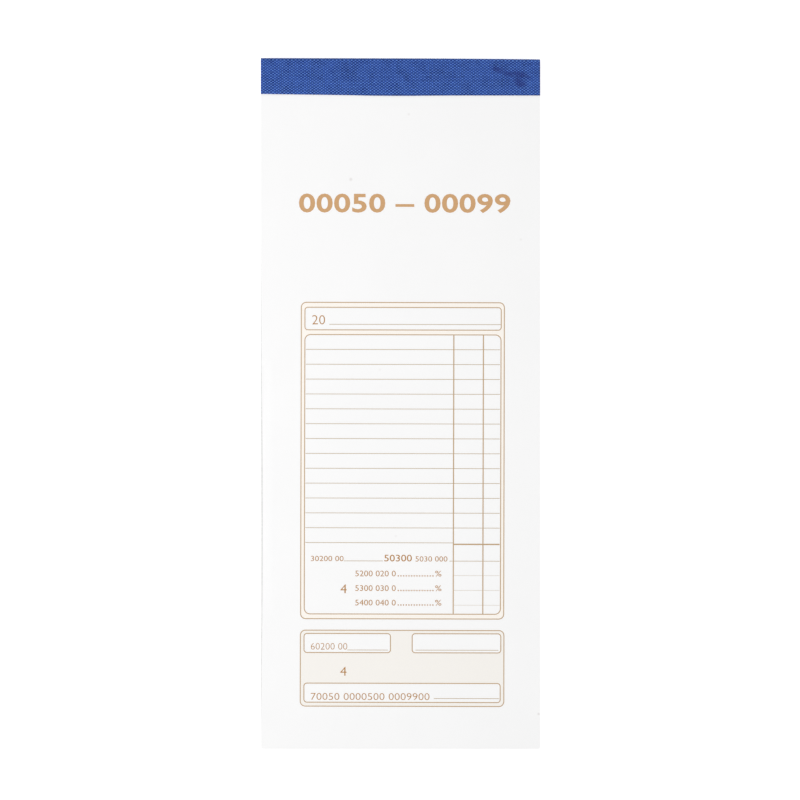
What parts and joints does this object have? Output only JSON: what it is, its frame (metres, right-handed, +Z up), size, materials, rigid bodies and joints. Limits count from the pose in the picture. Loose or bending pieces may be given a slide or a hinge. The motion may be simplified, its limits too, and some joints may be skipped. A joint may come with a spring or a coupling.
{
  "type": "bill pad",
  "caption": "Tall narrow pad of ruled bill forms with a printed card cover, cloth-taped stapled head, perforated tear-off leaves and a chipboard back.",
  "frame": {"origin": "middle of the pad's underside, which rests on the table", "axes": "+X to the right across the pad, +Y along the pad to the taped head, +Z up through the leaves to the cover"},
  "size_m": [0.085, 0.21, 0.0068],
  "materials": {
    "cover_card": "smooth white card",
    "leaf_paper": "uncoated writing paper",
    "chipboard": "grey recycled board",
    "tape_cloth": "plain-woven blue book cloth",
    "staple_wire": "bright galvanised wire",
    "printed_ink": "tan offset ink"
  },
  "bodies": {
    "bound_head": {"back_board": "chipboard", "stub_block": "leaf_paper", "cover_strip": "cover_card", "binding_tape": "tape_cloth", "staple_left": "staple_wire", "staple_right": "staple_wire"},
    "cover": {"cover_panel": "cover_card"},
    "leaf_01": {"leaf_01": "leaf_paper"},
    "leaf_02": {"leaf_02": "leaf_paper"},
    "leaf_03": {"leaf_03": "leaf_paper"},
    "leaf_04": {"leaf_04": "leaf_paper"},
    "leaf_05": {"leaf_05": "leaf_paper"},
    "leaf_06": {"leaf_06": "leaf_paper"},
    "leaf_07": {"leaf_07": "leaf_paper"},
    "leaf_08": {"leaf_08": "leaf_paper"},
    "leaf_09": {"leaf_09": "leaf_paper"},
    "leaf_10": {"leaf_10": "leaf_paper"},
    "leaf_11": {"leaf_11": "leaf_paper"},
    "leaf_12": {"leaf_12": "leaf_paper"},
    "leaf_13": {"leaf_13": "leaf_paper"},
    "leaf_14": {"leaf_14": "leaf_paper"},
    "leaf_15": {"leaf_15": "leaf_paper"},
    "leaf_16": {"leaf_16": "leaf_paper"},
    "leaf_17": {"leaf_17": "leaf_paper"},
    "leaf_18": {"leaf_18": "leaf_paper"},
    "leaf_19": {"leaf_19": "leaf_paper"},
    "leaf_20": {"leaf_20": "leaf_paper"},
    "leaf_21": {"leaf_21": "leaf_paper"},
    "leaf_22": {"leaf_22": "leaf_paper"},
    "leaf_23": {"leaf_23": "leaf_paper"},
    "leaf_24": {"leaf_24": "leaf_paper"},
    "leaf_25": {"leaf_25": "leaf_paper"},
    "leaf_26": {"leaf_26": "leaf_paper"},
    "leaf_27": {"leaf_27": "leaf_paper"},
    "leaf_28": {"leaf_28": "leaf_paper"},
    "leaf_29": {"leaf_29": "leaf_paper"},
    "leaf_30": {"leaf_30": "leaf_paper"},
    "leaf_31": {"leaf_31": "leaf_paper"},
    "leaf_32": {"leaf_32": "leaf_paper"},
    "leaf_33": {"leaf_33": "leaf_paper"},
    "leaf_34": {"leaf_34": "leaf_paper"},
    "leaf_35": {"leaf_35": "leaf_paper"},
    "leaf_36": {"leaf_36": "leaf_paper"},
    "leaf_37": {"leaf_37": "leaf_paper"},
    "leaf_38": {"leaf_38": "leaf_paper"},
    "leaf_39": {"leaf_39": "leaf_paper"},
    "leaf_40": {"leaf_40": "leaf_paper"},
    "leaf_41": {"leaf_41": "leaf_paper"},
    "leaf_42": {"leaf_42": "leaf_paper"},
    "leaf_43": {"leaf_43": "leaf_paper"},
    "leaf_44": {"leaf_44": "leaf_paper"},
    "leaf_45": {"leaf_45": "leaf_paper"},
    "leaf_46": {"leaf_46": "leaf_paper"},
    "leaf_47": {"leaf_47": "leaf_paper"},
    "leaf_48": {"leaf_48": "leaf_paper"},
    "leaf_49": {"leaf_49": "leaf_paper"},
    "leaf_50": {"leaf_50": "leaf_paper"}
  },
  "joints": [
    {"name": "cover_turn", "type": "hinge", "parent": "bound_head", "child": "cover", "pos_m": [0, 0.094, 0.00679], "axis": [-1, 0, 0], "range_deg": [0, 175]},
    {"name": "leaf_01_tear_off", "type": "slide", "parent": "bound_head", "child": "leaf_01", "axis": [0, -1, 0], "range_m": [0, 0.2]},
    {"name": "leaf_02_tear_off", "type": "slide", "parent": "bound_head", "child": "leaf_02", "axis": [0, -1, 0], "range_m": [0, 0.2]},
    {"name": "leaf_03_tear_off", "type": "slide", "parent": "bound_head", "child": "leaf_03", "axis": [0, -1, 0], "range_m": [0, 0.2]},
    {"name": "leaf_04_tear_off", "type": "slide", "parent": "bound_head", "child": "leaf_04", "axis": [0, -1, 0], "range_m": [0, 0.2]},
    {"name": "leaf_05_tear_off", "type": "slide", "parent": "bound_head", "child": "leaf_05", "axis": [0, -1, 0], "range_m": [0, 0.2]},
    {"name": "leaf_06_tear_off", "type": "slide", "parent": "bound_head", "child": "leaf_06", "axis": [0, -1, 0], "range_m": [0, 0.2]},
    {"name": "leaf_07_tear_off", "type": "slide", "parent": "bound_head", "child": "leaf_07", "axis": [0, -1, 0], "range_m": [0, 0.2]},
    {"name": "leaf_08_tear_off", "type": "slide", "parent": "bound_head", "child": "leaf_08", "axis": [0, -1, 0], "range_m": [0, 0.2]},
    {"name": "leaf_09_tear_off", "type": "slide", "parent": "bound_head", "child": "leaf_09", "axis": [0, -1, 0], "range_m": [0, 0.2]},
    {"name": "leaf_10_tear_off", "type": "slide", "parent": "bound_head", "child": "leaf_10", "axis": [0, -1, 0], "range_m": [0, 0.2]},
    {"name": "leaf_11_tear_off", "type": "slide", "parent": "bound_head", "child": "leaf_11", "axis": [0, -1, 0], "range_m": [0, 0.2]},
    {"name": "leaf_12_tear_off", "type": "slide", "parent": "bound_head", "child": "leaf_12", "axis": [0, -1, 0], "range_m": [0, 0.2]},
    {"name": "leaf_13_tear_off", "type": "slide", "parent": "bound_head", "child": "leaf_13", "axis": [0, -1, 0], "range_m": [0, 0.2]},
    {"name": "leaf_14_tear_off", "type": "slide", "parent": "bound_head", "child": "leaf_14", "axis": [0, -1, 0], "range_m": [0, 0.2]},
    {"name": "leaf_15_tear_off", "type": "slide", "parent": "bound_head", "child": "leaf_15", "axis": [0, -1, 0], "range_m": [0, 0.2]},
    {"name": "leaf_16_tear_off", "type": "slide", "parent": "bound_head", "child": "leaf_16", "axis": [0, -1, 0], "range_m": [0, 0.2]},
    {"name": "leaf_17_tear_off", "type": "slide", "parent": "bound_head", "child": "leaf_17", "axis": [0, -1, 0], "range_m": [0, 0.2]},
    {"name": "leaf_18_tear_off", "type": "slide", "parent": "bound_head", "child": "leaf_18", "axis": [0, -1, 0], "range_m": [0, 0.2]},
    {"name": "leaf_19_tear_off", "type": "slide", "parent": "bound_head", "child": "leaf_19", "axis": [0, -1, 0], "range_m": [0, 0.2]},
    {"name": "leaf_20_tear_off", "type": "slide", "parent": "bound_head", "child": "leaf_20", "axis": [0, -1, 0], "range_m": [0, 0.2]},
    {"name": "leaf_21_tear_off", "type": "slide", "parent": "bound_head", "child": "leaf_21", "axis": [0, -1, 0], "range_m": [0, 0.2]},
    {"name": "leaf_22_tear_off", "type": "slide", "parent": "bound_head", "child": "leaf_22", "axis": [0, -1, 0], "range_m": [0, 0.2]},
    {"name": "leaf_23_tear_off", "type": "slide", "parent": "bound_head", "child": "leaf_23", "axis": [0, -1, 0], "range_m": [0, 0.2]},
    {"name": "leaf_24_tear_off", "type": "slide", "parent": "bound_head", "child": "leaf_24", "axis": [0, -1, 0], "range_m": [0, 0.2]},
    {"name": "leaf_25_tear_off", "type": "slide", "parent": "bound_head", "child": "leaf_25", "axis": [0, -1, 0], "range_m": [0, 0.2]},
    {"name": "leaf_26_tear_off", "type": "slide", "parent": "bound_head", "child": "leaf_26", "axis": [0, -1, 0], "range_m": [0, 0.2]},
    {"name": "leaf_27_tear_off", "type": "slide", "parent": "bound_head", "child": "leaf_27", "axis": [0, -1, 0], "range_m": [0, 0.2]},
    {"name": "leaf_28_tear_off", "type": "slide", "parent": "bound_head", "child": "leaf_28", "axis": [0, -1, 0], "range_m": [0, 0.2]},
    {"name": "leaf_29_tear_off", "type": "slide", "parent": "bound_head", "child": "leaf_29", "axis": [0, -1, 0], "range_m": [0, 0.2]},
    {"name": "leaf_30_tear_off", "type": "slide", "parent": "bound_head", "child": "leaf_30", "axis": [0, -1, 0], "range_m": [0, 0.2]},
    {"name": "leaf_31_tear_off", "type": "slide", "parent": "bound_head", "child": "leaf_31", "axis": [0, -1, 0], "range_m": [0, 0.2]},
    {"name": "leaf_32_tear_off", "type": "slide", "parent": "bound_head", "child": "leaf_32", "axis": [0, -1, 0], "range_m": [0, 0.2]},
    {"name": "leaf_33_tear_off", "type": "slide", "parent": "bound_head", "child": "leaf_33", "axis": [0, -1, 0], "range_m": [0, 0.2]},
    {"name": "leaf_34_tear_off", "type": "slide", "parent": "bound_head", "child": "leaf_34", "axis": [0, -1, 0], "range_m": [0, 0.2]},
    {"name": "leaf_35_tear_off", "type": "slide", "parent": "bound_head", "child": "leaf_35", "axis": [0, -1, 0], "range_m": [0, 0.2]},
    {"name": "leaf_36_tear_off", "type": "slide", "parent": "bound_head", "child": "leaf_36", "axis": [0, -1, 0], "range_m": [0, 0.2]},
    {"name": "leaf_37_tear_off", "type": "slide", "parent": "bound_head", "child": "leaf_37", "axis": [0, -1, 0], "range_m": [0, 0.2]},
    {"name": "leaf_38_tear_off", "type": "slide", "parent": "bound_head", "child": "leaf_38", "axis": [0, -1, 0], "range_m": [0, 0.2]},
    {"name": "leaf_39_tear_off", "type": "slide", "parent": "bound_head", "child": "leaf_39", "axis": [0, -1, 0], "range_m": [0, 0.2]},
    {"name": "leaf_40_tear_off", "type": "slide", "parent": "bound_head", "child": "leaf_40", "axis": [0, -1, 0], "range_m": [0, 0.2]},
    {"name": "leaf_41_tear_off", "type": "slide", "parent": "bound_head", "child": "leaf_41", "axis": [0, -1, 0], "range_m": [0, 0.2]},
    {"name": "leaf_42_tear_off", "type": "slide", "parent": "bound_head", "child": "leaf_42", "axis": [0, -1, 0], "range_m": [0, 0.2]},
    {"name": "leaf_43_tear_off", "type": "slide", "parent": "bound_head", "child": "leaf_43", "axis": [0, -1, 0], "range_m": [0, 0.2]},
    {"name": "leaf_44_tear_off", "type": "slide", "parent": "bound_head", "child": "leaf_44", "axis": [0, -1, 0], "range_m": [0, 0.2]},
    {"name": "leaf_45_tear_off", "type": "slide", "parent": "bound_head", "child": "leaf_45", "axis": [0, -1, 0], "range_m": [0, 0.2]},
    {"name": "leaf_46_tear_off", "type": "slide", "parent": "bound_head", "child": "leaf_46", "axis": [0, -1, 0], "range_m": [0, 0.2]},
    {"name": "leaf_47_tear_off", "type": "slide", "parent": "bound_head", "child": "leaf_47", "axis": [0, -1, 0], "range_m": [0, 0.2]},
    {"name": "leaf_48_tear_off", "type": "slide", "parent": "bound_head", "child": "leaf_48", "axis": [0, -1, 0], "range_m": [0, 0.2]},
    {"name": "leaf_49_tear_off", "type": "slide", "parent": "bound_head", "child": "leaf_49", "axis": [0, -1, 0], "range_m": [0, 0.2]},
    {"name": "leaf_50_tear_off", "type": "slide", "parent": "bound_head", "child": "leaf_50", "axis": [0, -1, 0], "range_m": [0, 0.2]}
  ]
}
